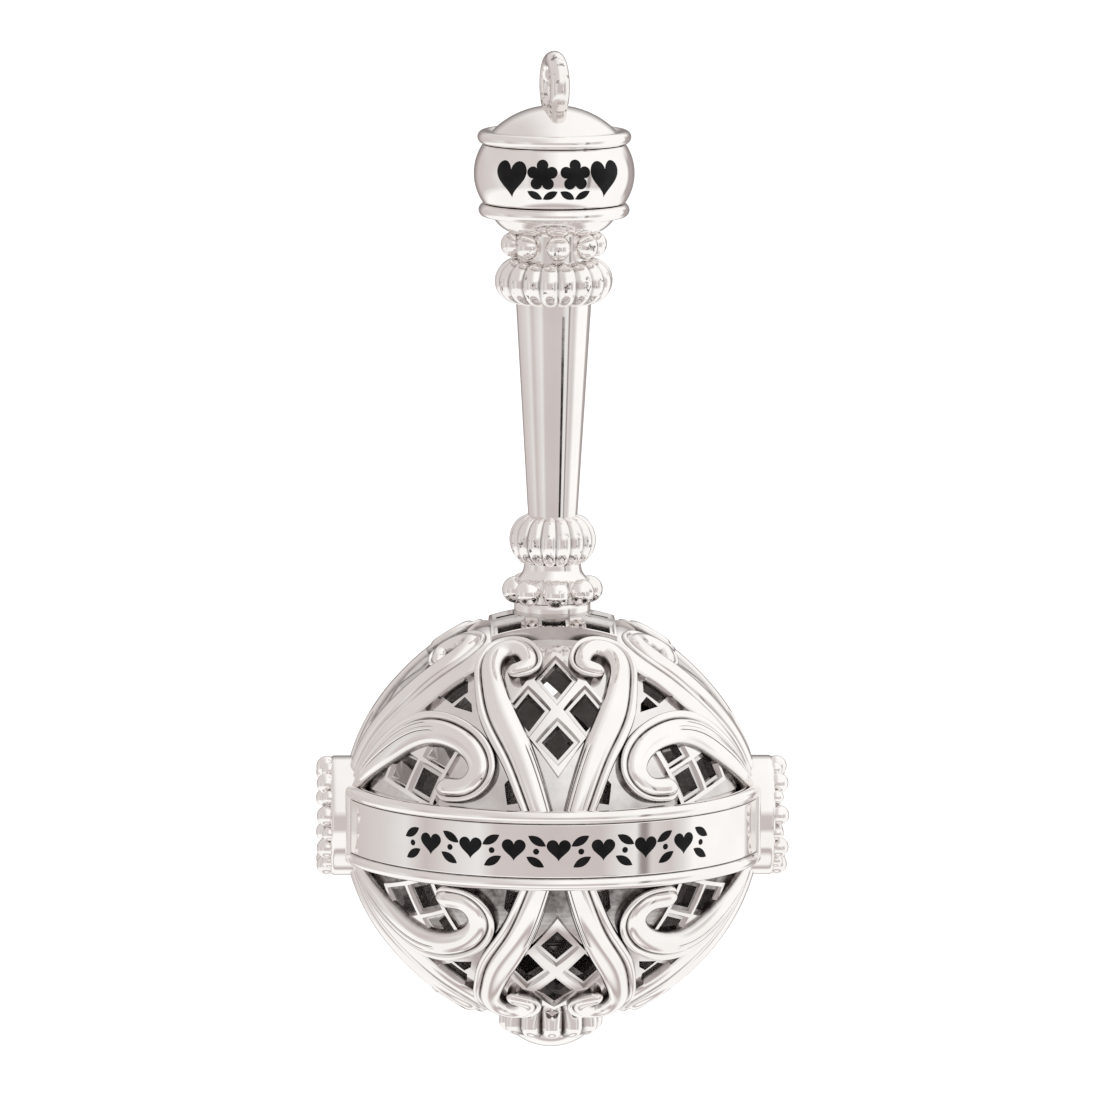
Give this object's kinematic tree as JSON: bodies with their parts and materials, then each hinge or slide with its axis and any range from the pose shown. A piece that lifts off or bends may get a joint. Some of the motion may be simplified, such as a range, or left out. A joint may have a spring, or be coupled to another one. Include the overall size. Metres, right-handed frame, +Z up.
{
  "type": "baby rattle",
  "caption": "Hanging ornamental silver baby rattle: pierced scrollwork ball with a loose jingle bell inside, banded equator, side medallions and a turned handle ending in a ring.",
  "frame": {"origin": "centre of the hanging ring's eye, where the rattle hangs", "axes": "+Z up along the handle's axis, away from the ball; -Y is the front with the banner's enamel; the two side medallions face +X and -X; the ring's eye axis is turned 11 degrees from +X towards +Y"},
  "size_m": [0.052, 0.0474, 0.1105],
  "materials": {
    "silver": "mirror polished silver plate",
    "scroll_silver": "polished silver plate with dark patina in the grooves",
    "lattice_silver": "silver plate, toned dark inside",
    "enamel": "glossy black enamel fill",
    "steel": "plain turned steel",
    "bell_metal": "nickel plated sheet steel"
  },
  "bodies": {
    "rattle": {"hanging_loop": "silver", "end_cap": "silver", "drum": "silver", "drum_base": "silver", "upper_bead_ring": "silver", "upper_knop": "silver", "handle_shaft": "silver", "lower_knop": "silver", "neck_flare": "silver", "lower_bead_ring": "silver", "neck_collar": "silver", "front_banner": "silver", "rear_banner": "silver", "left_medallion": "silver", "right_medallion": "silver", "bottom_finial": "silver", "upper_scroll_casting": "scroll_silver", "lower_scroll_casting": "scroll_silver", "crown_grille": "scroll_silver", "upper_lattice": "lattice_silver", "lower_lattice": "lattice_silver", "drum_inlays": "enamel", "banner_inlays": "enamel", "loop_nut": "steel", "tie_rod": "steel", "tie_rod_nuts": "steel", "finial_screw": "steel"},
    "bell": {"bell_upper_shell": "bell_metal", "bell_lower_shell": "bell_metal"},
    "pellet": {"bell_pellet": "steel"}
  },
  "joints": [
    {"name": "bell_roll", "type": "hinge", "parent": "rattle", "child": "bell", "pos_m": [0, 0, -0.0808], "axis": [0, 1, 0], "continuous": true},
    {"name": "pellet_roll", "type": "hinge", "parent": "bell", "child": "pellet", "pos_m": [0, 0, -0.0938], "axis": [1, 0, 0], "continuous": true}
  ]
}
